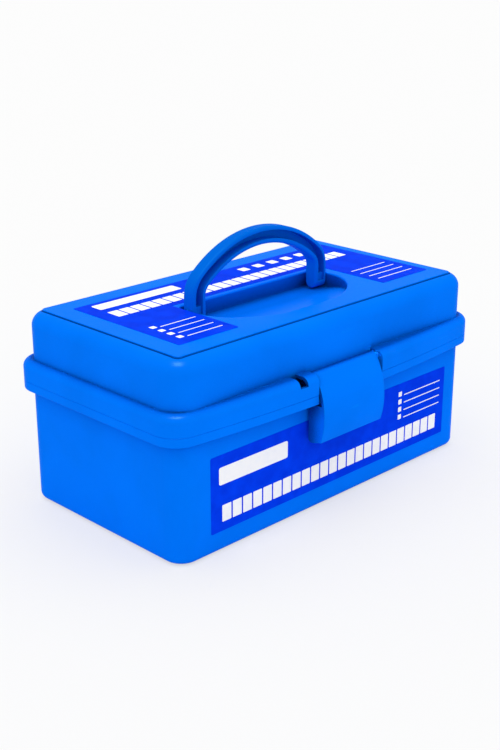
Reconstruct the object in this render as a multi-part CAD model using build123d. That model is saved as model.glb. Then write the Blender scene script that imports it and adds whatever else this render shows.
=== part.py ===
from build123d import *

import math
import os

# Specimen transport box. Millimetres, +Z up, +X along the box, -Y towards the latch.
# The origin is on the surface the box stands on, under the middle of the tub.

# ---- shells -----------------------------------------------------------------
WALL = 2.4              # nominal wall of the moulded shells
BODY_L = 286.8          # tub, outside
BODY_W = 153.6
BODY_R = 14.0           # upright corners of the tub
BODY_FOOT_R = 5.0       # round along the bottom edge
FLOOR = 2.6
FOOT_RECESS = 1.0       # the underside is raised inside a standing ring
FOOT_RING = 14.0        # width of that ring
LID_L = 287.6           # lid, outside, above its rim
LID_W = 153.6
LID_R = 16.5
SHOULDER_R = 9.5        # round from the lid's wall to its top
PANEL_L = 269.0         # raised top panel
PANEL_W = 136.4
PANEL_R = 4.0
PANEL_STEP = 0.9
PANEL_GROOVE = 0.9      # width and depth of the fine groove round the panel

Z_RIM_LOW = 82.4        # underside of the tub's rim
Z_PART = 88.8           # where tub and lid meet
Z_RIM_TOP = 103.0       # top of the lid's rim
Z_PANEL = 135.8         # top of the raised panel
Z_SHOULDER = Z_PANEL - PANEL_STEP

# ---- rim shared by tub and lid ----------------------------------------------
RIM_L = 300.0
RIM_BACK_Y = 81.5
RIM_FRONT_MID_Y = -88.9     # the front of the rim bows out towards the latch
RIM_FRONT_END_Y = -79.3
RIM_R = 18.0
RIM_TOP_R = 5.5             # round along the top edge of the lid's rim
RIM_EDGE_R = 0.4            # fine break along the joint line
RIM_UNDER_R = 1.0           # round along the underside of the tub's rim

# ---- seal -------------------------------------------------------------------
SEAL_W = 2.8
SEAL_GAP = 0.2              # inner face of the seal back from the tub's inner wall
SEAL_TOP = 89.4             # the lid's wall stops here, on the seal
SEAL_RELIEF = 0.9           # room kept round the seal under the rim

# ---- handle, its scoop and its pins -------------------------------------------
HANDLE_AXIS_Y = -2.0
HANDLE_AXIS_Z = 131.0
HANDLE_HALF_W = 65.9        # outside of the legs
HANDLE_TOP = 181.1
HANDLE_ARC_R = 89.1         # main arc, outside
HANDLE_HIP_R = 21.2         # arc from the main arc to the leg
HANDLE_BAR = 12.2           # seen from the front
HANDLE_DEPTH = 10.0         # front to back
HANDLE_EDGE_R = 1.8
GROOVE_OUTER_WALL = 2.8
GROOVE_INNER_WALL = 3.3
GROOVE_DEPTH = 7.0
GROOVE_FOOT_DEPTH = 1.6     # shallower over the pin's boss
GROOVE_FOOT_Z = 137.0
GROOVE_END_Z = 131.6
HANDLE_PIN_R = 2.0
HANDLE_PIN_IN = 55.5        # inner end of each pin
HANDLE_PIN_OUT = 74.0
HANDLE_BOSS_R = 4.4
HANDLE_BOSS_OUT = 76.5

SCOOP_HALF = 67.1
SCOOP_BACK_Y = 7.0
SCOOP_MID_Y = -11.0         # the half ellipse starts here
SCOOP_REACH = 43.8          # its half axis towards the front
SCOOP_BEND_Y = -8.0         # the floor turns up into the ramp
SCOOP_RAMP_END_Y = -53.0
SCOOP_FLOOR_Z = 125.2
SCOOP_CORNER_R = 4.0
SCOOP_RAMP_R = 30.0
SCOOP_EDGE_R = 1.2          # round where its walls meet the panel

# ---- latch --------------------------------------------------------------------
LATCH_AXIS_Z = 99.0
LATCH_HALF_W = 30.5
LATCH_ROLL_R = 4.0
LATCH_ARC_Y = -39.0         # centre and radius of the outer face's arc
LATCH_ARC_Z = 72.6
LATCH_ARC_R = 54.1
LATCH_AXIS_Y = LATCH_ARC_Y - math.sqrt((LATCH_ARC_R - LATCH_ROLL_R) ** 2 - (LATCH_AXIS_Z - LATCH_ARC_Z) ** 2)
LATCH_WALL = 1.9
LATCH_BOTTOM_Z = 55.6
CHEEK_WALL = 2.0
CHEEK_TOP_Z = 81.0
CHEEK_BACK_Y = -79.2
CHEEK_CORNER_R = 3.0
CHEEK_BOTTOM_Z = 52.6
BEAD_R = 1.3
BEAD_Z = 79.0
BEAD_HALF_W = 22.0
LATCH_PIN_R = 1.5
RECESS_LEFT = -31.0         # the latch hangs between these, with more room on the right
RECESS_RIGHT = 33.2
RIB = 4.0                   # solid ends of the rim that carry the latch pin
SLOT_X = (-48.0, -41.0)     # opening in the rim that the latch pin is pushed in through
SLOT_Z = 97.5
CATCH_Y = -88.15            # the tub's rim is dressed flat behind the latch
CHEEK_RELIEF = (27.9, 31.1) # gaps in the tub's rim that the cheeks lift through
CHEEK_RELIEF_Y = -78.4

# ---- rear hinge -----------------------------------------------------------------
HINGE_X = 95.0
HINGE_AXIS_Y = 87.6
HINGE_AXIS_Z = Z_PART
KNUCKLE_R = 5.5
LID_KNUCKLE_HALF = 6.6
TUB_KNUCKLE_IN = 7.0
TUB_KNUCKLE_OUT = 18.0
HEEL_R = 7.2                # heel on the lid's knuckle that stops the open lid on the tub's rim
HEEL_AT = 48.1              # degrees behind straight down, with the lid shut
HINGE_PIN_R = 2.0
HINGE_PIN_HALF = 18.6

# ---- labels -----------------------------------------------------------------------
FILM = 0.25
TOP_LABEL_X = (-119.0, 126.0)
TOP_LABEL_Y = (-52.5, 52.5)
TOP_LABEL_CUT_X = (-68.3, 75.5)
TOP_LABEL_CUT_Y = 11.5
FRONT_LABEL_X = (-117.0, 121.0)
FRONT_LABEL_Z = (15.0, 67.4)
LABEL_R = 1.0

# ---- lining of the tub -----------------------------------------------------------------
PAD_T = 2.4
PAD_MARGIN = 3.2
FOAM_Z = (5.3, 50.0)
FOAM_MARGIN = 1.2
FOAM_R = 10.0
THUMB_R = 11.0
WELL_COLUMNS = 4            # wells for sample jars
WELL_ROWS = 2
WELL_PITCH_X = 67.0
WELL_PITCH_Y = 68.0
WELL_R = 25.5

RUNNING = 0.06              # radial clearance of every turning fit


def span(x, y, z):
    """A box given by its limits."""
    size = [b - a for a, b in (x, y, z)]
    middle = [(a + b) / 2 for a, b in (x, y, z)]
    return Pos(*middle) * Box(*size)


def rod_x(x, y, z, radius):
    """A cylinder along X between the two values of x."""
    return Pos((x[0] + x[1]) / 2, y, z) * Rot(0, 90, 0) * Cylinder(radius, x[1] - x[0])


def prism(outline, z0, z1):
    """An outline drawn on XY, raised from z0 to z1."""
    return Pos(0, 0, z0) * extrude(outline, z1 - z0)


def rounded(length, width, radius, inset=0.0):
    """A rounded rectangle, optionally drawn inset from the named size."""
    return RectangleRounded(length - 2 * inset, width - 2 * inset, radius - inset)


def top_edges(solid):
    return solid.faces().sort_by(Axis.Z)[-1].edges()


def bottom_edges(solid):
    return solid.faces().sort_by(Axis.Z)[0].edges()


def rim_outline(inset=0.0):
    """The rim seen from above: straight at the ends and back, bowed at the front."""
    half = RIM_L / 2
    outline = make_face(
        Line((-half, RIM_FRONT_END_Y), (-half, RIM_BACK_Y))
        + Line((-half, RIM_BACK_Y), (half, RIM_BACK_Y))
        + Line((half, RIM_BACK_Y), (half, RIM_FRONT_END_Y))
        + ThreePointArc((half, RIM_FRONT_END_Y), (0, RIM_FRONT_MID_Y), (-half, RIM_FRONT_END_Y))
    )
    outline = fillet(outline.vertices(), RIM_R)
    if inset:
        outline = offset(outline, -inset)
    return outline


def knuckle(x, above):
    """A hinge knuckle with its arm to the rim, above or below the hinge axis."""
    arm_z = (0.2, KNUCKLE_R) if above else (-KNUCKLE_R, -0.2)
    arm = span(x, (RIM_BACK_Y - 0.8, HINGE_AXIS_Y), [HINGE_AXIS_Z + z for z in arm_z])
    return rod_x(x, HINGE_AXIS_Y, HINGE_AXIS_Z, KNUCKLE_R) + arm


def lid_heel(x):
    """Three-cornered heel: a radial face that meets the tub's rim, and a back along the barrel's tangent."""
    lead = math.radians(HEEL_AT)
    trail = lead + math.acos(KNUCKLE_R / HEEL_R)
    corners = [(HINGE_AXIS_Y, HINGE_AXIS_Z)]
    for angle, radius in ((lead, HEEL_R), (trail, KNUCKLE_R)):
        corners.append((HINGE_AXIS_Y + radius * math.sin(angle), HINGE_AXIS_Z - radius * math.cos(angle)))
    heel = make_face(Polyline(*corners, corners[0]))
    return extrude(Plane.YZ.offset(x[0]) * heel, x[1] - x[0])


def base_tub():
    """Lower shell: tub, ledge and lip of the rim, catch land and hinge knuckles."""
    ledge_top = Z_RIM_LOW + WALL
    shell = prism(rounded(BODY_L, BODY_W, BODY_R), 0, ledge_top)
    shell = fillet(bottom_edges(shell), BODY_FOOT_R)
    rim = prism(rim_outline(), Z_RIM_LOW, Z_PART)
    rim = fillet(bottom_edges(rim), RIM_UNDER_R)
    shell += fillet(top_edges(rim), RIM_EDGE_R)
    shell -= prism(rim_outline(WALL), ledge_top, Z_PART)
    cavity = prism(rounded(BODY_L, BODY_W, BODY_R, WALL), FLOOR, Z_PART)
    shell -= fillet(bottom_edges(cavity), BODY_FOOT_R - WALL)
    shell -= prism(rounded(BODY_L, BODY_W, BODY_R + FOOT_RING, FOOT_RING), 0, FOOT_RECESS)
    rim_z = (Z_RIM_LOW - 1, Z_PART + 1)
    shell -= span((-CHEEK_RELIEF[1], CHEEK_RELIEF[1]), (RIM_FRONT_MID_Y - 1, CATCH_Y), rim_z)
    for side in (-1, 1):
        relief_x = sorted(side * edge for edge in CHEEK_RELIEF)
        shell -= span(relief_x, (RIM_FRONT_MID_Y - 1, CHEEK_RELIEF_Y), rim_z)
        for end in (-1, 1):
            x = sorted(side * HINGE_X + end * reach for reach in (TUB_KNUCKLE_IN, TUB_KNUCKLE_OUT))
            shell += knuckle(x, above=False)
        shell -= rod_x(hinge_pin_span(side), HINGE_AXIS_Y, HINGE_AXIS_Z, HINGE_PIN_R)
    return shell


def scoop_outline(grow=0.0):
    """Half-moon plan of the handle scoop."""
    half = SCOOP_HALF + grow
    back = SCOOP_BACK_Y + grow
    reach = SCOOP_REACH + grow
    straight = Pos(0, (back + SCOOP_MID_Y) / 2) * Rectangle(2 * half, back - SCOOP_MID_Y)
    straight = fillet(straight.vertices().sort_by(Axis.Y)[-2:], SCOOP_CORNER_R + grow)
    front = Pos(0, SCOOP_MID_Y) * Ellipse(half, reach)
    front &= Pos(0, SCOOP_MID_Y - reach) * Rectangle(4 * half, 2 * reach)
    return straight + front


def scoop_side(drop=0.0):
    """Side view of the scoop: flat floor at the back, then a ramp up to the front."""
    floor = SCOOP_FLOOR_Z - drop
    slope = (Z_PANEL - SCOOP_FLOOR_Z) / (SCOOP_BEND_Y - SCOOP_RAMP_END_Y)
    far_y = SCOOP_RAMP_END_Y - 20
    far_z = Z_PANEL - drop + 20 * slope
    bend = (SCOOP_BEND_Y, floor)
    top = Z_PANEL + drop + 15
    side = make_face(Polyline((far_y, far_z), bend, (30, floor), (30, top), (far_y, top), (far_y, far_z)))
    corner = side.vertices().sort_by_distance((*bend, 0))[0]
    side = fillet(corner, SCOOP_RAMP_R)
    return Plane.YZ * side


def scoop_solid(grow=0.0, top=Z_PANEL + 2):
    """The hollow that is cut for the scoop, or with grow the pocket that carries it."""
    plan = prism(scoop_outline(grow), SCOOP_FLOOR_Z - grow - 1, top)
    return plan & extrude(scoop_side(grow), SCOOP_HALF + grow + 1, both=True)


def scoop_edges(shell):
    """The scoop's edges on the panel, apart from the shallow front end of its ramp."""
    found = []
    for edge in shell.edges():
        box = edge.bounding_box()
        on_panel = min(box.min.Z, box.max.Z) > Z_PANEL - 0.01
        inside = max(box.max.X, -box.min.X) < SCOOP_HALF + 1 and box.max.Y < SCOOP_BACK_Y + 1
        if on_panel and inside and box.max.Y > SCOOP_RAMP_END_Y + 1:
            found.append(edge)
    return found


def lid_shell():
    """Upper shell: wall, shoulder, raised panel, hollow rim, scoop, latch recess, slot, knuckles."""
    body = rounded(LID_L, LID_W, LID_R)
    rim = prism(rim_outline(), Z_PART, Z_RIM_TOP)
    rim = fillet(bottom_edges(rim), RIM_EDGE_R)
    rim = fillet(top_edges(rim), RIM_TOP_R)
    rim_hollow = prism(rim_outline(WALL), Z_PART, Z_RIM_TOP - WALL)
    rim_hollow = fillet(top_edges(rim_hollow), RIM_TOP_R - WALL)
    rim_hollow -= prism(body, Z_PART, Z_RIM_TOP)
    for rib_x in ((RECESS_LEFT - RIB, RECESS_LEFT), (RECESS_RIGHT, RECESS_RIGHT + RIB)):
        rim_hollow -= span(rib_x, (RIM_FRONT_MID_Y - 1, -LID_W / 2), (Z_PART, Z_RIM_TOP))

    wall = prism(body, SEAL_TOP, Z_SHOULDER)
    wall = fillet(top_edges(wall), SHOULDER_R)
    groove = prism(rounded(PANEL_L + 2 * PANEL_GROOVE, PANEL_W + 2 * PANEL_GROOVE, PANEL_R + PANEL_GROOVE),
                   Z_SHOULDER - PANEL_GROOVE, Z_PANEL)
    panel = prism(rounded(PANEL_L, PANEL_W, PANEL_R), Z_SHOULDER - PANEL_GROOVE, Z_PANEL)
    panel = fillet(top_edges(panel), 0.4)

    cavity = prism(rounded(LID_L, LID_W, LID_R, WALL), Z_PART - 1, Z_SHOULDER - WALL)
    cavity = fillet(top_edges(cavity), SHOULDER_R - WALL)
    pocket = scoop_solid(WALL, Z_SHOULDER - 1)
    for side in (-1, 1):
        boss_x = sorted((side * SCOOP_HALF, side * HANDLE_BOSS_OUT))
        pocket += rod_x(boss_x, HANDLE_AXIS_Y, HANDLE_AXIS_Z, HANDLE_BOSS_R)

    shell = (rim - rim_hollow) + wall
    shell -= groove
    shell += panel
    shell -= cavity - pocket
    shell -= prism(rounded(LID_L, LID_W, LID_R, -SEAL_RELIEF), Z_PART - 1, SEAL_TOP)
    shell -= scoop_solid()
    shell = fillet(scoop_edges(shell), SCOOP_EDGE_R)
    outside_wall = (RIM_FRONT_MID_Y - 1, -LID_W / 2)
    shell -= span((RECESS_LEFT, RECESS_RIGHT), outside_wall, (Z_PART - 1, Z_RIM_TOP + 1))
    shell -= span(SLOT_X, outside_wall, (SLOT_Z, Z_RIM_TOP + 1))
    shell -= rod_x(latch_pin_span(), LATCH_AXIS_Y, LATCH_AXIS_Z, LATCH_PIN_R)
    for side in (-1, 1):
        shell -= rod_x(handle_pin_span(side), HANDLE_AXIS_Y, HANDLE_AXIS_Z, HANDLE_PIN_R)
        x = [side * HINGE_X + reach for reach in (-LID_KNUCKLE_HALF, LID_KNUCKLE_HALF)]
        shell += knuckle(x, above=True) + lid_heel(x)
        shell -= rod_x(hinge_pin_span(side), HINGE_AXIS_Y, HINGE_AXIS_Z, HINGE_PIN_R + RUNNING)
    return shell


def hinge_pin_span(side):
    return [side * HINGE_X - HINGE_PIN_HALF, side * HINGE_X + HINGE_PIN_HALF]


def latch_pin_span():
    return [RECESS_LEFT - RIB, RECESS_RIGHT + RIB]


def handle_pin_span(side):
    return sorted((side * HANDLE_PIN_IN, side * HANDLE_PIN_OUT))


def pin(x, y, z, radius):
    """A plain pin along X with both ends broken."""
    rod = rod_x(x, y, z, radius)
    return chamfer(rod.edges().filter_by(GeomType.CIRCLE), radius * 0.2)


def lid_seal():
    """Ring on the tub's ledge, under the lid's wall."""
    inner = WALL - SEAL_GAP
    ring = rounded(BODY_L, BODY_W, BODY_R, inner - SEAL_W) - rounded(BODY_L, BODY_W, BODY_R, inner)
    return prism(ring, Z_RIM_LOW + WALL, SEAL_TOP)


def on_latch_arc(radius, z):
    """Point (y, z) on the front of the latch's arc, or of one concentric with it."""
    return (LATCH_ARC_Y - math.sqrt(radius ** 2 - (z - LATCH_ARC_Z) ** 2), z)


def latch_profile():
    """Section of the flap on YZ: an arc that runs smoothly into the roll round the pin."""
    inner_r = LATCH_ARC_R - LATCH_WALL
    reach = LATCH_ARC_R - LATCH_ROLL_R
    to_pin = ((LATCH_AXIS_Y - LATCH_ARC_Y) / reach, (LATCH_AXIS_Z - LATCH_ARC_Z) / reach)
    touch = (LATCH_ARC_Y + LATCH_ARC_R * to_pin[0], LATCH_ARC_Z + LATCH_ARC_R * to_pin[1])
    along = (inner_r ** 2 - LATCH_ROLL_R ** 2 + reach ** 2) / (2 * reach)
    across = math.sqrt(inner_r ** 2 - along ** 2)
    meet = (LATCH_ARC_Y + along * to_pin[0] - across * to_pin[1],
            LATCH_ARC_Z + along * to_pin[1] + across * to_pin[0])
    low_out = on_latch_arc(LATCH_ARC_R, LATCH_BOTTOM_Z)
    low_in = on_latch_arc(inner_r, LATCH_BOTTOM_Z)
    return make_face(
        ThreePointArc(low_out, on_latch_arc(LATCH_ARC_R, LATCH_ARC_Z), touch)
        + ThreePointArc(touch, (LATCH_AXIS_Y + LATCH_ROLL_R, LATCH_AXIS_Z), meet)
        + ThreePointArc(meet, on_latch_arc(inner_r, LATCH_ARC_Z), low_in)
        + Line(low_in, low_out)
    )


def latch():
    """Curved flap on a roll, with two cheeks below the rim and a bead behind it."""
    flap = extrude(Plane.YZ * latch_profile(), LATCH_HALF_W, both=True)
    disc = Pos(LATCH_ARC_Y, LATCH_ARC_Z) * Circle(LATCH_ARC_R)
    front_y = LATCH_ARC_Y - LATCH_ARC_R - 1
    cheek = make_face(Polyline((CHEEK_BACK_Y, CHEEK_TOP_Z), (CHEEK_BACK_Y, CHEEK_BOTTOM_Z),
                               (RIM_FRONT_MID_Y - 1, LATCH_BOTTOM_Z), (front_y, LATCH_BOTTOM_Z),
                               (front_y, CHEEK_TOP_Z), (CHEEK_BACK_Y, CHEEK_TOP_Z)))
    cheek = fillet(cheek.vertices().sort_by_distance((CHEEK_BACK_Y, CHEEK_BOTTOM_Z, 0))[0], CHEEK_CORNER_R)
    cheek &= disc
    for x in (-LATCH_HALF_W, LATCH_HALF_W - CHEEK_WALL):
        flap += extrude(Plane.YZ.offset(x) * cheek, CHEEK_WALL)
    bead_y = on_latch_arc(LATCH_ARC_R - LATCH_WALL, BEAD_Z)[0]
    flap += rod_x((-BEAD_HALF_W, BEAD_HALF_W), bead_y, BEAD_Z, BEAD_R)
    return flap - rod_x((-LATCH_HALF_W, LATCH_HALF_W), LATCH_AXIS_Y, LATCH_AXIS_Z, LATCH_PIN_R + RUNNING)


def arch(inset, foot_z):
    """The handle's three-centred arch with straight legs, drawn on XZ, inset from its outside."""
    half = HANDLE_HALF_W - inset
    top = HANDLE_TOP - inset
    main_r = HANDLE_ARC_R - inset
    hip_r = HANDLE_HIP_R - inset
    main_z = top - main_r
    hip_x = half - hip_r
    rise = math.sqrt((main_r - hip_r) ** 2 - hip_x ** 2)
    hip_z = main_z + rise
    join_angle = math.atan2(hip_x, rise)
    join = (main_r * math.sin(join_angle), main_z + main_r * math.cos(join_angle))
    mid_angle = (join_angle + math.pi / 2) / 2
    hip_mid = (hip_x + hip_r * math.sin(mid_angle), hip_z + hip_r * math.cos(mid_angle))

    def mirrored(point):
        return (-point[0], point[1])

    outline = (
        Line((half, foot_z), (half, hip_z))
        + ThreePointArc((half, hip_z), hip_mid, join)
        + ThreePointArc(join, (0, top), mirrored(join))
        + ThreePointArc(mirrored(join), mirrored(hip_mid), (-half, hip_z))
        + Line((-half, hip_z), (-half, foot_z))
        + Line((-half, foot_z), (half, foot_z))
    )
    return make_face(outline)


def arch_solid(face, y0, y1):
    """A face drawn on XZ, given thickness from y0 to y1."""
    return extrude(Plane.XZ.offset(-y1) * face, y1 - y0)


def carry_handle():
    """Arched grip, grooved in front, with round feet on its pins."""
    front = HANDLE_AXIS_Y - HANDLE_DEPTH / 2
    back = HANDLE_AXIS_Y + HANDLE_DEPTH / 2
    grip = arch_solid(arch(0, HANDLE_AXIS_Z) - arch(HANDLE_BAR, HANDLE_AXIS_Z), front, back)
    for side in (-1, 1):
        foot_x = sorted((side * HANDLE_HALF_W, side * (HANDLE_HALF_W - HANDLE_BAR)))
        grip += rod_x(foot_x, HANDLE_AXIS_Y, HANDLE_AXIS_Z, HANDLE_DEPTH / 2)
    grip = fillet(handle_rim_edges(grip), HANDLE_EDGE_R)
    channel = arch(GROOVE_OUTER_WALL, GROOVE_END_Z) - arch(HANDLE_BAR - GROOVE_INNER_WALL, GROOVE_END_Z)
    shallow = arch_solid(channel, front - 1, front + GROOVE_FOOT_DEPTH)
    deep = arch_solid(channel, front - 1, front + GROOVE_DEPTH)
    deep &= span((-HANDLE_HALF_W, HANDLE_HALF_W), (front - 1, back), (GROOVE_FOOT_Z, HANDLE_TOP))
    grip -= shallow + deep
    for side in (-1, 1):
        grip -= rod_x(handle_pin_span(side), HANDLE_AXIS_Y, HANDLE_AXIS_Z, HANDLE_PIN_R + RUNNING)
    return grip


def handle_rim_edges(grip):
    """The long outside edges of the grip: those where two faces meet square."""
    x_faces = grip.faces().filter_by(Axis.Y)
    return x_faces.edges()


def top_label():
    """U-shaped film that leaves the scoop open."""
    sheet = rect_between(TOP_LABEL_X, TOP_LABEL_Y)
    cut = rect_between(TOP_LABEL_CUT_X, (TOP_LABEL_Y[0] - 10, TOP_LABEL_CUT_Y))
    film = sheet - cut
    film = fillet(film.vertices(), LABEL_R)
    return prism(film, Z_PANEL, Z_PANEL + FILM)


def rect_between(x, y):
    return Pos((x[0] + x[1]) / 2, (y[0] + y[1]) / 2) * Rectangle(x[1] - x[0], y[1] - y[0])


def front_label():
    """Rectangular film on the tub's front wall."""
    film = rect_between(FRONT_LABEL_X, FRONT_LABEL_Z)
    film = fillet(film.vertices(), LABEL_R)
    return arch_solid(film, -BODY_W / 2 - FILM, -BODY_W / 2)


def absorbent_pad():
    pad = rounded(BODY_L, BODY_W, BODY_R, WALL + PAD_MARGIN)
    return prism(pad, FLOOR, FLOOR + PAD_T)


def well_places():
    """Centres of the wells, row by row from the front left."""
    places = []
    for row in range(WELL_ROWS):
        for column in range(WELL_COLUMNS):
            x = (column - (WELL_COLUMNS - 1) / 2) * WELL_PITCH_X
            y = (row - (WELL_ROWS - 1) / 2) * WELL_PITCH_Y
            places.append((x, y))
    return places


def foam_insert():
    """Block with a well for each sample jar and a thumb hollow at both ends."""
    block = rounded(BODY_L, BODY_W, FOAM_R + WALL + FOAM_MARGIN, WALL + FOAM_MARGIN)
    foam = prism(block, *FOAM_Z)
    for x, y in well_places():
        foam -= prism(Pos(x, y) * Circle(WELL_R), *FOAM_Z)
    end = BODY_L / 2 - WALL - FOAM_MARGIN
    for side in (-1, 1):
        foam -= prism(Pos(side * end, 0) * Circle(THUMB_R), FOAM_Z[1] - THUMB_R, FOAM_Z[1])
    return foam


def write(node, solid):
    export_step(solid, f"parts/{node}.step")


os.makedirs("parts", exist_ok=True)
write("base_tub", base_tub())
write("lid_shell", lid_shell())
write("lid_seal", lid_seal())
write("latch", latch())
write("latch_pin", pin(latch_pin_span(), LATCH_AXIS_Y, LATCH_AXIS_Z, LATCH_PIN_R))
write("carry_handle", carry_handle())
for side_name, side_sign in (("left", -1), ("right", 1)):
    handle_pin = pin(handle_pin_span(side_sign), HANDLE_AXIS_Y, HANDLE_AXIS_Z, HANDLE_PIN_R)
    write(f"handle_pin_{side_name}", handle_pin)
    write(f"hinge_pin_{side_name}", pin(hinge_pin_span(side_sign), HINGE_AXIS_Y, HINGE_AXIS_Z, HINGE_PIN_R))
write("top_label", top_label())
write("front_label", front_label())
write("absorbent_pad", absorbent_pad())
write("foam_insert", foam_insert())
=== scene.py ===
import math

import bmesh
import bpy
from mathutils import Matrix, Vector


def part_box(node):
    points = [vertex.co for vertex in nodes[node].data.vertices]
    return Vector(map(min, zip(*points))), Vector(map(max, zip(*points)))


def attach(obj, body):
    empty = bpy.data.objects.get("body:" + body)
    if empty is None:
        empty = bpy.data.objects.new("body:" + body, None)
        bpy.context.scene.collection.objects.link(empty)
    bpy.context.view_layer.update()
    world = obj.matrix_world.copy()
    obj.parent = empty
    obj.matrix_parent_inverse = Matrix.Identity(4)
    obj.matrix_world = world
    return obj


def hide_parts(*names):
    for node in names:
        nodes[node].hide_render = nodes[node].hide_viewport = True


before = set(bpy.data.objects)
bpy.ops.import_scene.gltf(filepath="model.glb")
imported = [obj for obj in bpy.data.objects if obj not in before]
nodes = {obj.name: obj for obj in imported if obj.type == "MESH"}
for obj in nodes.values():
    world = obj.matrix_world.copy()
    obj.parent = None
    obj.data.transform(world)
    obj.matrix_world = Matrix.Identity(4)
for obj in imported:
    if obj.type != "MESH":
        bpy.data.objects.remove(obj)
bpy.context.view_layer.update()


# ---- Base tub ---------------------------------------------------------------
# The lower shell, injection moulded in blue polypropylene with a satin mould
# texture. It has a folded rim, a raised floor inside a standing ring, and outer
# hinge knuckles at the back.

def new_group(name, inputs, outputs):
    """An empty shader node group with these named inputs and outputs."""
    group = bpy.data.node_groups.new(name, "ShaderNodeTree")
    for label, kind, value in inputs:
        socket = group.interface.new_socket(label, in_out="INPUT", socket_type=kind)
        if value is not None:
            socket.default_value = value
    for label, kind in outputs:
        group.interface.new_socket(label, in_out="OUTPUT", socket_type=kind)
    return group, group.nodes.new("NodeGroupInput"), group.nodes.new("NodeGroupOutput")


def add_node(tree, kind, settings=None, **values):
    """A node with its settings, its fixed inputs and its links made."""
    node = tree.nodes.new(kind)
    for key, value in (settings or {}).items():
        setattr(node, key, value)
    for key, value in values.items():
        socket = node.inputs[int(key[1:])] if key[1:].isdigit() else node.inputs[key.replace("_", " ")]
        if isinstance(value, bpy.types.NodeSocket):
            tree.links.new(value, socket)
        else:
            socket.default_value = value
    return node


def ramp(tree, value, low, high):
    """0 below low, 1 above high and a smooth step between."""
    node = add_node(tree, "ShaderNodeMapRange", {"interpolation_type": "SMOOTHSTEP"}, Value=value)
    node.inputs["From Min"].default_value = low
    node.inputs["From Max"].default_value = high
    return node.outputs["Result"]


def between(tree, value, low, high):
    """A value of 0 to 1 spread from low to high."""
    node = add_node(tree, "ShaderNodeMapRange", None, Value=value)
    node.inputs["To Min"].default_value = low
    node.inputs["To Max"].default_value = high
    return node.outputs["Result"]


def mix_colour(tree, amount, a, b):
    """Colour a turned towards b by amount."""
    node = tree.nodes.new("ShaderNodeMix")
    node.data_type = "RGBA"
    for socket, value in ((node.inputs[0], amount), (node.inputs[6], a), (node.inputs[7], b)):
        if isinstance(value, bpy.types.NodeSocket):
            tree.links.new(value, socket)
        else:
            socket.default_value = value
    return node.outputs[2]


def moulded_surface():
    """Satin moulded plastic: melt-flow clouding, fine mould texture and hairline scuffs."""
    group, given, out = new_group(
        "Moulded surface",
        [("Colour", "NodeSocketColor", None), ("Scuff Colour", "NodeSocketColor", None),
         ("Grain Size", "NodeSocketFloat", 0.0004), ("Clouding", "NodeSocketFloat", 0.06),
         ("Scuffs", "NodeSocketFloat", 0.3), ("Roughness", "NodeSocketFloat", 0.4)],
        [("Colour", "NodeSocketColor"), ("Roughness", "NodeSocketFloat"), ("Height", "NodeSocketFloat")])
    place = add_node(group, "ShaderNodeTexCoord").outputs["Object"]
    cloud = add_node(group, "ShaderNodeTexNoise", None, Vector=place, Scale=16.0, Detail=4.0, Distortion=0.6)
    inverse = add_node(group, "ShaderNodeMath", {"operation": "DIVIDE"}, _0=1.0,
                       _1=given.outputs["Grain Size"])
    grain = add_node(group, "ShaderNodeTexNoise", None, Vector=place, Scale=inverse.outputs[0], Detail=2.0)
    streak_place = add_node(group, "ShaderNodeMapping", None, Vector=place, Rotation=(0.4, 0.2, 0.7),
                            Scale=(40.0, 900.0, 260.0))
    streak = add_node(group, "ShaderNodeTexNoise", None, Vector=streak_place.outputs[0], Scale=1.0,
                      Detail=3.0)
    patch = add_node(group, "ShaderNodeTexNoise", None, Vector=place, Scale=34.0, Detail=3.0)
    scuff = add_node(group, "ShaderNodeMath", {"operation": "MULTIPLY"},
                     _0=ramp(group, streak.outputs["Fac"], 0.66, 0.74),
                     _1=ramp(group, patch.outputs["Fac"], 0.52, 0.68))
    scuff = add_node(group, "ShaderNodeMath", {"operation": "MULTIPLY"}, _0=scuff.outputs[0],
                     _1=given.outputs["Scuffs"])
    light = add_node(group, "ShaderNodeMapRange", None, Value=cloud.outputs["Fac"])
    light.inputs["From Min"].default_value = 0.3
    light.inputs["From Max"].default_value = 0.7
    less = add_node(group, "ShaderNodeMath", {"operation": "SUBTRACT"}, _0=1.0, _1=given.outputs["Clouding"])
    more = add_node(group, "ShaderNodeMath", {"operation": "ADD"}, _0=1.0, _1=given.outputs["Clouding"])
    group.links.new(less.outputs[0], light.inputs["To Min"])
    group.links.new(more.outputs[0], light.inputs["To Max"])
    tone = add_node(group, "ShaderNodeVectorMath", {"operation": "SCALE"}, _0=given.outputs["Colour"],
                    Scale=light.outputs["Result"])
    colour = mix_colour(group, scuff.outputs[0], tone.outputs[0], given.outputs["Scuff Colour"])
    group.links.new(colour, out.inputs["Colour"])
    rough = given.outputs["Roughness"]
    for part, share in ((cloud.outputs["Fac"], 0.08), (scuff.outputs[0], 0.25), (grain.outputs["Fac"], 0.08)):
        rough = add_node(group, "ShaderNodeMath", {"operation": "MULTIPLY_ADD"},
                         _0=part, _1=share, _2=rough).outputs[0]
    group.links.new(rough, out.inputs["Roughness"])
    height = add_node(group, "ShaderNodeMath", {"operation": "MULTIPLY_ADD"}, _0=scuff.outputs[0],
                      _1=-0.6, _2=grain.outputs["Fac"])
    height = add_node(group, "ShaderNodeMath", {"operation": "MULTIPLY_ADD"}, _0=cloud.outputs["Fac"],
                      _1=2.0, _2=height.outputs[0])
    group.links.new(height.outputs[0], out.inputs["Height"])
    return group


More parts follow.
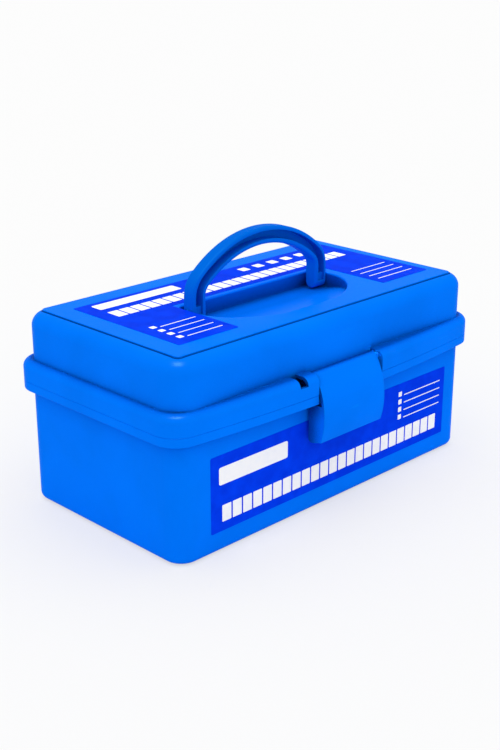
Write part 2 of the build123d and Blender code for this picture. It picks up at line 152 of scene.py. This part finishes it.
def edge_wear_and_painted_shade():
    """Rounded edge normals, a mask of rubbed edges, and masks of where shade is painted: creases, hollows and
    what lies under an overhang.
    """
    group, given, out = new_group(
        "Worn edges and painted shade",
        [("Edge Radius", "NodeSocketFloat", 0.0005), ("Wear", "NodeSocketFloat", 0.5),
         ("Crease Depth", "NodeSocketFloat", 0.003), ("Hollow Depth", "NodeSocketFloat", 0.016)],
        [("Normal", "NodeSocketVector"), ("Edge", "NodeSocketFloat"), ("Crease", "NodeSocketFloat"),
         ("Hollow", "NodeSocketFloat"), ("Shade", "NodeSocketFloat")])
    bevel = add_node(group, "ShaderNodeBevel", {"samples": 4}, Radius=given.outputs["Edge Radius"])
    flat = add_node(group, "ShaderNodeNewGeometry")
    dot = add_node(group, "ShaderNodeVectorMath", {"operation": "DOT_PRODUCT"}, _0=bevel.outputs[0],
                   _1=flat.outputs["Normal"])
    turned = add_node(group, "ShaderNodeMath", {"operation": "SUBTRACT"}, _0=1.0, _1=dot.outputs["Value"])
    edge = ramp(group, turned.outputs[0], 0.01, 0.25)
    place = add_node(group, "ShaderNodeTexCoord").outputs["Object"]
    broken = add_node(group, "ShaderNodeTexNoise", None, Vector=place, Scale=240.0, Detail=3.0)
    broken = ramp(group, broken.outputs["Fac"], 0.3, 0.62)
    rubbed = add_node(group, "ShaderNodeMath", {"operation": "MULTIPLY"}, _0=edge, _1=broken)
    rubbed = add_node(group, "ShaderNodeMath", {"operation": "MULTIPLY"}, _0=rubbed.outputs[0],
                      _1=given.outputs["Wear"])
    # Ambient occlusion at three reaches marks where shade is painted into the colour: narrow creases, hollows
    # within the part, and what lies under an overhang.
    overhang_reach = 0.014
    pinched = add_node(group, "ShaderNodeAmbientOcclusion", {"samples": 4},
                       Distance=given.outputs["Crease Depth"])
    shut_in = add_node(group, "ShaderNodeAmbientOcclusion", {"samples": 4, "only_local": True},
                       Distance=given.outputs["Hollow Depth"])
    overhung = add_node(group, "ShaderNodeAmbientOcclusion", {"samples": 4}, Distance=overhang_reach)
    results = {"Normal": bevel.outputs[0], "Edge": rubbed.outputs[0],
               "Crease": ramp(group, pinched.outputs["AO"], 0.55, 0.05),
               "Hollow": ramp(group, shut_in.outputs["AO"], 0.87, 0.47),
               "Shade": ramp(group, overhung.outputs["AO"], 1.0, 0.6)}
    for label, socket in results.items():
        group.links.new(socket, out.inputs[label])
    return group


moulded = moulded_surface()
edges = edge_wear_and_painted_shade()


def group_node(tree, group, **values):
    """The group placed in a material with its own values."""
    node = tree.nodes.new("ShaderNodeGroup")
    node.node_tree = group
    for key, value in values.items():
        node.inputs[key.replace("_", " ")].default_value = value
    return node


def blank_material(name):
    """A material with its Principled BSDF."""
    material = bpy.data.materials.new(name)
    material.use_nodes = True
    return material, material.node_tree, material.node_tree.nodes["Principled BSDF"]


def set_finish(tree, shader, colour, roughness, normal):
    """Gives the shader the colour, roughness and normal that change over the surface."""
    for socket, label in ((colour, "Base Color"), (roughness, "Roughness"), (normal, "Normal")):
        tree.links.new(socket, shader.inputs[label])


def moulded_plastic(name, colour, rubbed, shade_colour, roughness=0.17, scuffs=0.3, wear=0.5, hollow=0.8,
                    hollow_depth=0.016, shade=0.0, gloss=0.004):
    """Blue moulded plastic in one of its shades, with the thin glossy skin that the mould leaves.

    Its own reflection is weak and tinted blue, so that broad faces stay deep in colour. Shade is painted into
    its colour in creases, in hollows and under overhangs."""
    material, tree, shader = blank_material(name)
    surface = group_node(tree, moulded, Colour=colour, Scuff_Colour=rubbed, Grain_Size=0.00045,
                         Clouding=0.06, Scuffs=scuffs, Roughness=roughness)
    edge = group_node(tree, edges, Edge_Radius=0.0006, Wear=wear, Crease_Depth=0.0035,
                      Hollow_Depth=hollow_depth)
    # Lighter edges: partly rubbed wear, partly a painted highlight along the edges.
    body = mix_colour(tree, edge.outputs["Edge"], surface.outputs["Colour"], rubbed)
    # Painted shade: in hollows and under overhangs the colour turns towards the shade colour.
    for mask, amount in (("Hollow", hollow), ("Shade", shade)):
        if amount:
            darkened = add_node(tree, "ShaderNodeMath", {"operation": "MULTIPLY"},
                                _0=edge.outputs[mask], _1=amount)
            body = mix_colour(tree, darkened.outputs[0], body, shade_colour)
    # Painted shade in narrow creases, half way from the colour to the shade colour.
    crease_shade_colour = tuple(0.5 * (full + dark) for full, dark in zip(colour, shade_colour))
    body = mix_colour(tree, edge.outputs["Crease"], body, crease_shade_colour)
    bump = add_node(tree, "ShaderNodeBump", None, Strength=0.12, Distance=0.00012,
                    Height=surface.outputs["Height"], Normal=edge.outputs["Normal"])
    set_finish(tree, shader, body, surface.outputs["Roughness"], bump.outputs[0])
    shader.inputs["IOR"].default_value = 1.03
    shader.inputs["Specular Tint"].default_value = (0.1, 1.4, 2.4, 1.0)
    shader.inputs["Coat Weight"].default_value = gloss
    shader.inputs["Coat Roughness"].default_value = 0.25
    return material


# The lighter blue colours the scuffs and the rubbed edges; on the edges it is partly a painted highlight.
shell_blue = (0.0, 0.185, 0.98, 1.0)
scuff_and_edge_highlight_blue = (0.0, 0.32, 1.0, 1.0)
# Painted shade: the shell's creases and hollows turn towards its shade colour.
shell_plastic = moulded_plastic("blue moulded shell", shell_blue, scuff_and_edge_highlight_blue, shade_colour=(0.0, 0.045, 0.28, 1.0))


def dress(node, material):
    """Gives a CAD node its finish."""
    mesh = nodes[node].data
    mesh.materials.clear()
    mesh.materials.append(material)


dress("base_tub", shell_plastic)


# ---- Hinge pins -------------------------------------------------------------
# Two plain drawn-steel pins pressed through the tub's outer knuckles. The lid
# turns on their middle.

def drawn_steel():
    """Bright steel with fine draw lines along X and a little tarnish."""
    material, tree, shader = blank_material("drawn steel pin")
    place = add_node(tree, "ShaderNodeTexCoord").outputs["Object"]
    stretched = add_node(tree, "ShaderNodeMapping", None, Vector=place, Scale=(60.0, 9000.0, 9000.0))
    lines = add_node(tree, "ShaderNodeTexNoise", None, Vector=stretched.outputs[0], Scale=1.0, Detail=3.0)
    tarnish = add_node(tree, "ShaderNodeTexNoise", None, Vector=place, Scale=400.0, Detail=3.0)
    colour = mix_colour(tree, ramp(tree, tarnish.outputs["Fac"], 0.45, 0.75),
                        (0.62, 0.63, 0.65, 1.0), (0.36, 0.35, 0.35, 1.0))
    rough = between(tree, lines.outputs["Fac"], 0.22, 0.48)
    bump = add_node(tree, "ShaderNodeBump", None, Strength=0.3, Distance=0.00002, Height=lines.outputs["Fac"])
    set_finish(tree, shader, colour, rough, bump.outputs[0])
    shader.inputs["Metallic"].default_value = 1.0
    return material


steel = drawn_steel()
for pin in ("hinge_pin_left", "hinge_pin_right"):
    dress(pin, steel)


# ---- Lid seal ---------------------------------------------------------------
# An extruded cord of soft black rubber, joined into a ring and laid on the
# tub's rim. The lid's wall closes on it.

def soft_rubber():
    """Matt black rubber with bloom and fine extrusion lines."""
    material, tree, shader = blank_material("soft seal rubber")
    place = add_node(tree, "ShaderNodeTexCoord").outputs["Object"]
    bloom = add_node(tree, "ShaderNodeTexNoise", None, Vector=place, Scale=120.0, Detail=4.0)
    lines_place = add_node(tree, "ShaderNodeMapping", None, Vector=place, Scale=(120.0, 120.0, 6000.0))
    lines = add_node(tree, "ShaderNodeTexNoise", None, Vector=lines_place.outputs[0], Scale=1.0, Detail=2.0)
    colour = mix_colour(tree, ramp(tree, bloom.outputs["Fac"], 0.35, 0.75),
                        (0.022, 0.022, 0.025, 1.0), (0.07, 0.07, 0.075, 1.0))
    rough = between(tree, bloom.outputs["Fac"], 0.55, 0.85)
    bump = add_node(tree, "ShaderNodeBump", None, Strength=0.4, Distance=0.00004, Height=lines.outputs["Fac"])
    set_finish(tree, shader, colour, rough, bump.outputs[0])
    shader.inputs["Specular IOR Level"].default_value = 0.07
    return material


dress("lid_seal", soft_rubber())


# ---- Absorbent pad ----------------------------------------------------------
# A white non-woven pad on the tub's floor that soaks up a leaking jar. It is
# embossed in a diamond pattern and its edge is pressed flat.

def new_piece(name, data):
    """An object that holds this mesh or curve, in the scene."""
    piece = bpy.data.objects.new(name, data)
    bpy.context.scene.collection.objects.link(piece)
    return piece


def pillow_slab(name, low, high, corner, step, edge, height_at):
    """A closed slab on a fine grid with rounded plan corners, thinned towards its edge."""
    mesh = bmesh.new()
    half_x = (high.x - low.x) / 2
    half_y = (high.y - low.y) / 2
    mid = (low + high) / 2
    count_x = round(2 * half_x / step)
    count_y = round(2 * half_y / step)
    rows = {1: [], -1: []}
    for side in (1, -1):
        for j in range(count_y + 1):
            row = []
            for i in range(count_x + 1):
                x = (2 * i / count_x - 1) * half_x
                y = (2 * j / count_y - 1) * half_y
                over_x = max(abs(x) - (half_x - corner), 0.0)
                over_y = max(abs(y) - (half_y - corner), 0.0)
                if over_x > 0 and over_y > 0:
                    longest = max(over_x, over_y)
                    pull = longest / math.hypot(over_x, over_y)
                    x = math.copysign(half_x - corner + over_x * pull, x)
                    y = math.copysign(half_y - corner + over_y * pull, y)
                    inset = corner - longest
                else:
                    inset = min(half_x - abs(x), half_y - abs(y))
                swell = math.sin(min(inset / edge, 1.0) * math.pi / 2) ** 0.6
                rim = i in (0, count_x) or j in (0, count_y)
                if rim and side < 0:
                    row.append(rows[1][j][i])
                    continue
                z = side * (high.z - low.z) / 2 * (0.0 if rim else swell)
                if not rim:
                    z += height_at(x, y, side) * swell
                row.append(mesh.verts.new((mid.x + x, mid.y + y, mid.z + z)))
            rows[side].append(row)
    for side in (1, -1):
        for j in range(count_y):
            for i in range(count_x):
                near, far = rows[side][j], rows[side][j + 1]
                face = [near[i], near[i + 1], far[i + 1], far[i]]
                mesh.faces.new(face if side > 0 else face[::-1])
    data = bpy.data.meshes.new(name)
    mesh.to_mesh(data)
    mesh.free()
    data.polygons.foreach_set("use_smooth", [True] * len(data.polygons))
    return new_piece(name, data)


def embossed(x, y, side):
    """Height to add on the pad's upper side: diamond embossing, and soft waves in the fibres."""
    if side < 0:
        return 0.0
    pitch = 0.0105
    groove_from = 0.78
    groove_depth = 0.0008
    wave_height = 0.00008
    u = abs((x + y) / pitch % 1.0 - 0.5) * 2
    v = abs((x - y) / pitch % 1.0 - 0.5) * 2
    dent = max(0.0, (max(u, v) - groove_from) / (1.0 - groove_from))
    wave = wave_height * (math.sin(x * 61.0) + math.sin(y * 83.0 + x * 17.0) - 2.0)
    return -groove_depth * dent * dent * (3 - 2 * dent) + wave


def non_woven():
    """White pressed fibres."""
    material, tree, shader = blank_material("white non-woven fibre")
    place = add_node(tree, "ShaderNodeTexCoord").outputs["Object"]
    fibres = None
    for turn in (0.3, 1.4, 2.5):
        turned = add_node(tree, "ShaderNodeMapping", None, Vector=place, Rotation=(0.0, 0.0, turn),
                          Scale=(260.0, 4200.0, 900.0))
        layer = add_node(tree, "ShaderNodeTexNoise", None, Vector=turned.outputs[0], Scale=1.0, Detail=2.0)
        if fibres is None:
            fibres = layer.outputs["Fac"]
        else:
            fibres = add_node(tree, "ShaderNodeMath", {"operation": "MAXIMUM"}, _0=fibres,
                              _1=layer.outputs["Fac"]).outputs[0]
    tone = add_node(tree, "ShaderNodeTexNoise", None, Vector=place, Scale=22.0, Detail=3.0)
    pale = mix_colour(tree, ramp(tree, fibres, 0.45, 0.7), (0.62, 0.62, 0.60, 1.0), (0.88, 0.88, 0.86, 1.0))
    colour = mix_colour(tree, ramp(tree, tone.outputs["Fac"], 0.5, 0.9), pale, (0.78, 0.76, 0.70, 1.0))
    rough = between(tree, fibres, 0.98, 0.8)
    bump = add_node(tree, "ShaderNodeBump", None, Strength=0.6, Distance=0.00015, Height=fibres)
    set_finish(tree, shader, colour, rough, bump.outputs[0])
    shader.inputs["Specular IOR Level"].default_value = 0.06
    return material


pad_low, pad_high = (Vector(corner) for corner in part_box("absorbent_pad"))
pad = pillow_slab("absorbent_pad_quilted", pad_low, pad_high, corner=0.009, step=0.0011, edge=0.004,
                  height_at=embossed)
pad.data.materials.append(non_woven())
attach(pad, "tub")
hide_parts("absorbent_pad")


# ---- Foam insert ------------------------------------------------------------
# Two layers of dark closed-cell foam glued together, die cut with eight jar
# wells and a thumb hollow at both ends. It drops into the tub with a little
# room round it.

def cut_foam_layer(name, low, high, corner, holes, bites):
    """A flat layer of foam with round holes and edge bites, its cut edges slightly rounded."""
    soft = 0.0009
    corner_steps, bite_steps, hole_steps = 12, 24, 72
    curve = bpy.data.curves.new(name, "CURVE")
    curve.dimensions = "2D"
    curve.fill_mode = "BOTH"
    curve.extrude = (high.z - low.z) / 2 - soft
    curve.bevel_depth = soft
    curve.bevel_resolution = 2
    half_x = (high.x - low.x) / 2 - soft
    half_y = (high.y - low.y) / 2 - soft
    outline = []

    def arc(cx, cy, radius, start, end, steps):
        for k in range(steps + 1):
            a = math.radians(start + (end - start) * k / steps)
            outline.append((cx + radius * math.cos(a), cy + radius * math.sin(a)))

    r = corner - soft
    arc(half_x - r, -half_y + r, r, -90, 0, corner_steps)
    if bites:
        arc(half_x, 0.0, bites + soft, 270, 90, bite_steps)
    arc(half_x - r, half_y - r, r, 0, 90, corner_steps)
    arc(-half_x + r, half_y - r, r, 90, 180, corner_steps)
    if bites:
        arc(-half_x, 0.0, bites + soft, 90, -90, bite_steps)
    arc(-half_x + r, -half_y + r, r, 180, 270, corner_steps)
    loops = [outline]
    for x, y, radius in holes:
        loops.append([(x + (radius + soft) * math.cos(math.tau * k / hole_steps),
                       y + (radius + soft) * math.sin(math.tau * k / hole_steps)) for k in range(hole_steps)])
    for loop in loops:
        spline = curve.splines.new("POLY")
        spline.points.add(len(loop) - 1)
        for point, (x, y) in zip(spline.points, loop):
            point.co = (x, y, 0.0, 1.0)
        spline.use_cyclic_u = True
    source = new_piece(name, curve)
    graph = bpy.context.evaluated_depsgraph_get()
    data = bpy.data.meshes.new_from_object(source.evaluated_get(graph))
    bpy.data.objects.remove(source)
    centre = (low + high) / 2
    for vertex in data.vertices:
        vertex.co += centre
    return data


def closed_cell_foam():
    """Charcoal foam: fine pores with a few larger open cells, paler where it was cut."""
    material, tree, shader = blank_material("charcoal closed-cell foam")
    place = add_node(tree, "ShaderNodeTexCoord").outputs["Object"]
    fine = add_node(tree, "ShaderNodeTexVoronoi", None, Vector=place, Scale=1900.0)
    coarse = add_node(tree, "ShaderNodeTexVoronoi", None, Vector=place, Scale=620.0)
    tone = add_node(tree, "ShaderNodeTexNoise", None, Vector=place, Scale=30.0, Detail=4.0)
    edge = group_node(tree, edges, Edge_Radius=0.0015, Wear=0.8, Crease_Depth=0.006)
    cells = mix_colour(tree, ramp(tree, fine.outputs["Distance"], 0.1, 0.6),
                       (0.045, 0.046, 0.05, 1.0), (0.1, 0.101, 0.106, 1.0))
    cells = mix_colour(tree, ramp(tree, coarse.outputs["Distance"], 0.22, 0.12), cells,
                       (0.02, 0.02, 0.022, 1.0))
    cells = mix_colour(tree, ramp(tree, tone.outputs["Fac"], 0.35, 0.8), cells, (0.13, 0.13, 0.135, 1.0))
    cells = mix_colour(tree, edge.outputs["Edge"], cells, (0.17, 0.17, 0.175, 1.0))
    rough = between(tree, fine.outputs["Distance"], 0.8, 1.0)
    height = add_node(tree, "ShaderNodeMath", {"operation": "ADD"}, _0=fine.outputs["Distance"],
                      _1=coarse.outputs["Distance"])
    bump = add_node(tree, "ShaderNodeBump", None, Strength=0.5, Distance=0.0002, Height=height.outputs[0],
                    Normal=edge.outputs["Normal"])
    set_finish(tree, shader, cells, rough, bump.outputs[0])
    shader.inputs["Specular IOR Level"].default_value = 0.09
    return material


foam_low, foam_high = (Vector(corner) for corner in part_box("foam_insert"))
well_radius = 0.0255
foam_corner = 0.0095
thumb_radius = 0.011
foam_wells = [(x, y, well_radius) for y in (-0.034, 0.034) for x in (-0.1005, -0.0335, 0.0335, 0.1005)]
glue_line = foam_high.z - thumb_radius
foam_layers = [
    cut_foam_layer("foam_lower", foam_low, Vector((foam_high.x, foam_high.y, glue_line)), foam_corner,
                   foam_wells, bites=0.0),
    cut_foam_layer("foam_upper", Vector((foam_low.x, foam_low.y, glue_line)), foam_high, foam_corner,
                   foam_wells, bites=thumb_radius),
]
foam_mesh = bmesh.new()
for layer in foam_layers:
    foam_mesh.from_mesh(layer)
bmesh.ops.remove_doubles(foam_mesh, verts=foam_mesh.verts, dist=1e-6)
bmesh.ops.recalc_face_normals(foam_mesh, faces=foam_mesh.faces)
foam_data = bpy.data.meshes.new("foam_insert_cut")
foam_mesh.to_mesh(foam_data)
foam_mesh.free()
foam = new_piece("foam_insert_cut", foam_data)
foam.data.materials.append(closed_cell_foam())
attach(foam, "tub")
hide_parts("foam_insert")


# ---- Front label ------------------------------------------------------------
# Printed self-adhesive film on the tub's front wall. The ink is a solid deep
# blue, left white in a blank form: a comb of cells, an entry field, tick boxes
# and ruled lines.

def label_film():
    """Deep blue ink on film under a thin clear lacquer, with slight mottle and tiny dust bumps."""
    material, tree, shader = blank_material("deep blue label film")
    place = add_node(tree, "ShaderNodeTexCoord").outputs["Object"]
    mottle = add_node(tree, "ShaderNodeTexNoise", None, Vector=place, Scale=90.0, Detail=5.0)
    ripple = add_node(tree, "ShaderNodeTexNoise", None, Vector=place, Scale=24.0, Detail=1.0)
    ink = mix_colour(tree, ramp(tree, mottle.outputs["Fac"], 0.3, 0.75),
                     (0.0, 0.04, 0.80, 1.0), (0.0, 0.055, 0.92, 1.0))
    rough = between(tree, mottle.outputs["Fac"], 0.3, 0.46)
    height = add_node(tree, "ShaderNodeMath", {"operation": "MULTIPLY_ADD"}, _0=ripple.outputs["Fac"],
                      _1=6.0, _2=mottle.outputs["Fac"])
    bump = add_node(tree, "ShaderNodeBump", None, Strength=0.25, Distance=0.00008, Height=height.outputs[0])
    set_finish(tree, shader, ink, rough, bump.outputs[0])
    shader.inputs["Specular IOR Level"].default_value = 0.001
    shader.inputs["Coat Weight"].default_value = 0.015
    shader.inputs["Coat Roughness"].default_value = 0.38
    return material


def bare_film():
    """White film where the ink was left off, with a faint paper tone."""
    material, tree, shader = blank_material("white label film")
    place = add_node(tree, "ShaderNodeTexCoord").outputs["Object"]
    tone = add_node(tree, "ShaderNodeTexNoise", None, Vector=place, Scale=160.0, Detail=4.0)
    colour = mix_colour(tree, ramp(tree, tone.outputs["Fac"], 0.35, 0.8),
                        (0.98, 0.98, 0.99, 1.0), (0.92, 0.94, 0.98, 1.0))
    rough = between(tree, tone.outputs["Fac"], 0.35, 0.5)
    bump = add_node(tree, "ShaderNodeBump", None, Strength=0.2, Distance=0.00003, Height=tone.outputs["Fac"])
    set_finish(tree, shader, colour, rough, bump.outputs[0])
    return material


def patch_row_tree():
    """Geometry Nodes that lay a row of equal rounded patches, each a thin closed plate of film."""
    tree = bpy.data.node_groups.new("row of patches", "GeometryNodeTree")
    kinds = (("Base", "Geometry"), ("Count", "Int"), ("Start", "Vector"), ("Step", "Vector"),
             ("Turn", "Vector"), ("Width", "Float"), ("Height", "Float"), ("Corner", "Float"),
             ("Thickness", "Float"), ("Film", "Material"))
    for label, kind in kinds:
        tree.interface.new_socket(label, in_out="INPUT", socket_type="NodeSocket" + kind)
    tree.interface.new_socket("Patches", in_out="OUTPUT", socket_type="NodeSocketGeometry")
    given = tree.nodes.new("NodeGroupInput").outputs
    out = tree.nodes.new("NodeGroupOutput")
    line = add_node(tree, "GeometryNodeMeshLine", {"mode": "OFFSET"}, Count=given["Count"],
                    Start_Location=given["Start"], Offset=given["Step"])
    outline = tree.nodes.new("GeometryNodeCurvePrimitiveQuadrilateral")
    tree.links.new(given["Width"], outline.inputs["Width"])
    tree.links.new(given["Height"], outline.inputs["Height"])
    soft = add_node(tree, "GeometryNodeFilletCurve", {"mode": "POLY"}, _0=outline.outputs[0],
                    Radius=given["Corner"], Count=4, Limit_Radius=True)
    flat = add_node(tree, "GeometryNodeFillCurve", None, _0=soft.outputs[0])
    raised = add_node(tree, "GeometryNodeExtrudeMesh", None, Mesh=flat.outputs[0],
                      Offset_Scale=given["Thickness"], Individual=False)
    under = add_node(tree, "GeometryNodeFlipFaces", None, _0=flat.outputs[0])
    plate = tree.nodes.new("GeometryNodeJoinGeometry")
    tree.links.new(raised.outputs["Mesh"], plate.inputs[0])
    tree.links.new(under.outputs[0], plate.inputs[0])
    closed = add_node(tree, "GeometryNodeMergeByDistance", None, _0=plate.outputs[0], Distance=1e-6)
    placed = add_node(tree, "GeometryNodeInstanceOnPoints", None, Points=line.outputs[0],
                      Instance=closed.outputs[0], Rotation=given["Turn"])
    real = add_node(tree, "GeometryNodeRealizeInstances", None, _0=placed.outputs[0])
    paint = add_node(tree, "GeometryNodeSetMaterial", None, _0=real.outputs[0], Material=given["Film"])
    tree.links.new(paint.outputs[0], out.inputs[0])
    return tree


def form_print(name, rows, turn, film):
    """A blank form's white parts as one mesh: rows of (count, first centre, step, width, height, corner)."""
    sockets = {item.name: item.identifier for item in patch_rows.interface.items_tree
               if item.in_out == "INPUT"}
    patch_thickness = 0.00003
    joined = bmesh.new()
    for count, start, step, width, height, corner in rows:
        carrier = new_piece(name, bpy.data.meshes.new(name))
        rule = carrier.modifiers.new("row", "NODES")
        rule.node_group = patch_rows
        values = {"Count": count, "Start": start, "Step": step, "Turn": turn, "Width": width,
                  "Height": height, "Corner": corner, "Thickness": patch_thickness, "Film": film}
        for label, value in values.items():
            rule[sockets[label]] = value
        graph = bpy.context.evaluated_depsgraph_get()
        made = bpy.data.meshes.new_from_object(carrier.evaluated_get(graph))
        joined.from_mesh(made)
        bpy.data.objects.remove(carrier)
    data = bpy.data.meshes.new(name)
    joined.to_mesh(data)
    joined.free()
    data.materials.clear()
    data.materials.append(film)
    return new_piece(name, data)


patch_rows = patch_row_tree()
white_film = bare_film()
ink_film = label_film()
dress("front_label", ink_film)

film_overlap = 0.00001
front_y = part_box("front_label")[0][1] + film_overlap
front_form = form_print("front_label_form", [
    (24, (-0.1035, front_y, 0.0270), (0.0092, 0.0, 0.0), 0.0079, 0.0115, 0.0006),   # comb of cells
    (1, (-0.0790, front_y, 0.0530), (0.0, 0.0, 0.0), 0.0620, 0.0120, 0.0015),       # entry field
    (4, (0.0690, front_y, 0.0420), (0.0, 0.0, 0.0058), 0.0036, 0.0036, 0.0005),     # tick boxes
    (4, (0.0945, front_y, 0.0405), (0.0, 0.0, 0.0058), 0.0420, 0.0007, 0.0002),     # ruled lines
], (math.pi / 2, 0.0, 0.0), white_film)
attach(front_form, "tub")


# ---- Lid shell --------------------------------------------------------------
# The upper shell, moulded in the same plastic: a stepped top panel, a scoop for
# the handle, a hollow rim with the latch recess, and the lid's hinge knuckles.

# Painted shade: a deeper and wider darkening in the hollows, which darkens the walls of the handle's scoop.
lid_plastic = moulded_plastic("blue moulded lid", shell_blue, scuff_and_edge_highlight_blue, shade_colour=(0.0, 0.03, 0.17, 1.0),
                              hollow=1.0, hollow_depth=0.03)
dress("lid_shell", lid_plastic)


# ---- Top label --------------------------------------------------------------
# The same printed film, cut out in front round the handle's scoop. It carries
# another blank form, with no words.

dress("top_label", ink_film)
top_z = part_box("top_label")[1][2] - film_overlap
top_form = form_print("top_label_form", [
    (24, (-0.1045, 0.0235, top_z), (0.0094, 0.0, 0.0), 0.0081, 0.0125, 0.0006),     # comb of cells
    (1, (-0.0720, 0.0425, top_z), (0.0, 0.0, 0.0), 0.0720, 0.0110, 0.0015),         # entry field
    (6, (0.0300, 0.0425, top_z), (0.0150, 0.0, 0.0), 0.0075, 0.0075, 0.0008),       # large tick boxes
    (4, (-0.1080, -0.0410, top_z), (0.0, 0.0085, 0.0), 0.0042, 0.0042, 0.0005),     # small tick boxes
    (4, (-0.0885, -0.0430, top_z), (0.0, 0.0085, 0.0), 0.0300, 0.0009, 0.0003),     # ruled lines, left
    (4, (0.1005, -0.0430, top_z), (0.0, 0.0085, 0.0), 0.0380, 0.0009, 0.0003),      # ruled lines, right
], (0.0, 0.0, 0.0), white_film)
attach(top_form, "lid")


# ---- Latch pin --------------------------------------------------------------
# A thin steel pin slid in from the slot beside the latch, through the rim's two
# ribs. The latch turns on it.

dress("latch_pin", steel)


# ---- Latch ------------------------------------------------------------------
# A curved moulded flap rolled round its pin at the top, with side cheeks and a
# snap bead. It is handled most, so its edges are rubbed; their lighter colour is
# partly a painted highlight, and painted shade darkens what lies under an overhang.

latch_plastic = moulded_plastic("blue moulded latch", shell_blue, scuff_and_edge_highlight_blue, shade_colour=(0.0, 0.03, 0.2, 1.0),
                                roughness=0.16, scuffs=0.45, wear=0.7, shade=1.0)
dress("latch", latch_plastic)


# ---- Handle pins ------------------------------------------------------------
# Two steel pins pressed into bosses inside the lid. The handle's legs turn on
# their inner ends.

for pin in ("handle_pin_left", "handle_pin_right"):
    dress(pin, steel)


# ---- Carry handle -----------------------------------------------------------
# A moulded bail with a groove along its front, which saves plastic and keeps
# the bar from sinking. Hands have rubbed the grip matt.

handle_blue = (0.0, 0.14, 0.72, 1.0)
handle_scuff_and_edge_highlight_blue = (0.0, 0.25, 0.9, 1.0)
# Painted shade, kept light, in the groove and hollows; its edges are lightened partly by wear, partly as a
# painted highlight.
handle_plastic = moulded_plastic("blue moulded handle", handle_blue, handle_scuff_and_edge_highlight_blue,
                                 shade_colour=(0.0, 0.065, 0.38, 1.0), roughness=0.36, scuffs=0.4, wear=0.8,
                                 hollow=0.25, gloss=0.0)
dress("carry_handle", handle_plastic)


# ---- Floor and backdrop -----------------------------------------------------
# A wide pale studio floor and a white surround. Both look white to the camera
# and in reflections, and the floor keeps the box's shadow.

def seen_as_background(tree):
    """1 where the background is looked at, straight, mirrored or through something clear, else 0."""
    path = tree.nodes.new("ShaderNodeLightPath")
    total = path.outputs["Is Camera Ray"]
    for label in ("Is Glossy Ray", "Is Transmission Ray"):
        total = add_node(tree, "ShaderNodeMath", {"operation": "ADD", "use_clamp": True},
                         _0=total, _1=path.outputs[label]).outputs[0]
    return total


floor_radius = 14.0
floor_drop = 0.0001
floor_mesh = bmesh.new()
bmesh.ops.create_circle(floor_mesh, cap_ends=True, segments=96, radius=floor_radius)
floor_data = bpy.data.meshes.new("studio_floor")
floor_mesh.to_mesh(floor_data)
floor_mesh.free()
floor = new_piece("studio_floor", floor_data)
floor.location = (0.0, 0.0, -floor_drop)
paper, paper_tree, paper_shader = blank_material("pale studio paper")
paper_shader.inputs["Roughness"].default_value = 0.9
paper_shader.inputs["Specular IOR Level"].default_value = 0.0
paper_shader.inputs["Base Color"].default_value = (0.86, 0.86, 0.86, 1.0)
glow = add_node(paper_tree, "ShaderNodeEmission", None, Color=(0.98, 0.98, 0.98, 1.0), Strength=1.0)
glow_share = add_node(paper_tree, "ShaderNodeMath", {"operation": "MULTIPLY"},
                      _0=seen_as_background(paper_tree), _1=0.6)
paper_mix = add_node(paper_tree, "ShaderNodeMixShader", None, _0=glow_share.outputs[0],
                     _1=paper_shader.outputs[0], _2=glow.outputs[0])
paper_tree.links.new(paper_mix.outputs[0], paper_tree.nodes["Material Output"].inputs["Surface"])
floor.data.materials.append(paper)

surround = bpy.data.worlds.new("surround")
surround.use_nodes = True
bpy.context.scene.world = surround
sky = surround.node_tree
sky_light = sky.nodes["Background"]
sky_light.inputs["Color"].default_value = (1.0, 1.0, 1.0, 1.0)
sky_light.inputs["Strength"].default_value = 0.9
sky_seen = add_node(sky, "ShaderNodeBackground", None, Color=(0.97, 0.97, 0.97, 1.0), Strength=1.0)
sky_mix = add_node(sky, "ShaderNodeMixShader", None, _0=seen_as_background(sky),
                   _1=sky_light.outputs[0], _2=sky_seen.outputs[0])
sky.links.new(sky_mix.outputs[0], sky.nodes["World Output"].inputs["Surface"])


# ---- Lamps ------------------------------------------------------------------
# One wide soft overhead light, which the pale floor throws back on the walls,
# and a broad lamp high on the left that shows in reflections only, for the
# gleam on the rounded corners.

box_middle = (0.0, 0.0, 0.07)


def stand(name, data, place, target):
    """A lamp or camera at its place, turned to the target."""
    thing = new_piece(name, data)
    thing.location = place
    thing.rotation_euler = (Vector(target) - thing.location).to_track_quat("-Z", "Y").to_euler()
    return thing


overhead_data = bpy.data.lights.new("overhead light", "SUN")
overhead_data.energy = 0.75
overhead_data.angle = math.radians(75.0)
overhead = stand("overhead light", overhead_data, (0.15, 0.0, 2.0), box_middle)
overhead.visible_glossy = False

gleam_data = bpy.data.lights.new("gleam lamp", "AREA")
gleam_data.energy = 500.0
gleam_data.size = 0.7
gleam = stand("gleam lamp", gleam_data, (-0.36, -0.34, 1.55), box_middle)
gleam.visible_diffuse = False


# ---- Camera -----------------------------------------------------------------
# Stands to the front left, a little above the lid, and looks at the middle of
# the box.

lens = bpy.data.cameras.new("camera")
lens.lens = 58.978
lens.sensor_width = 36.0
camera = stand("camera", lens, (-0.58626, -0.58131, 0.37605), (-0.00027, 0.0057, 0.07053))
bpy.context.scene.camera = camera

bpy.context.scene.view_settings.view_transform = "Standard"
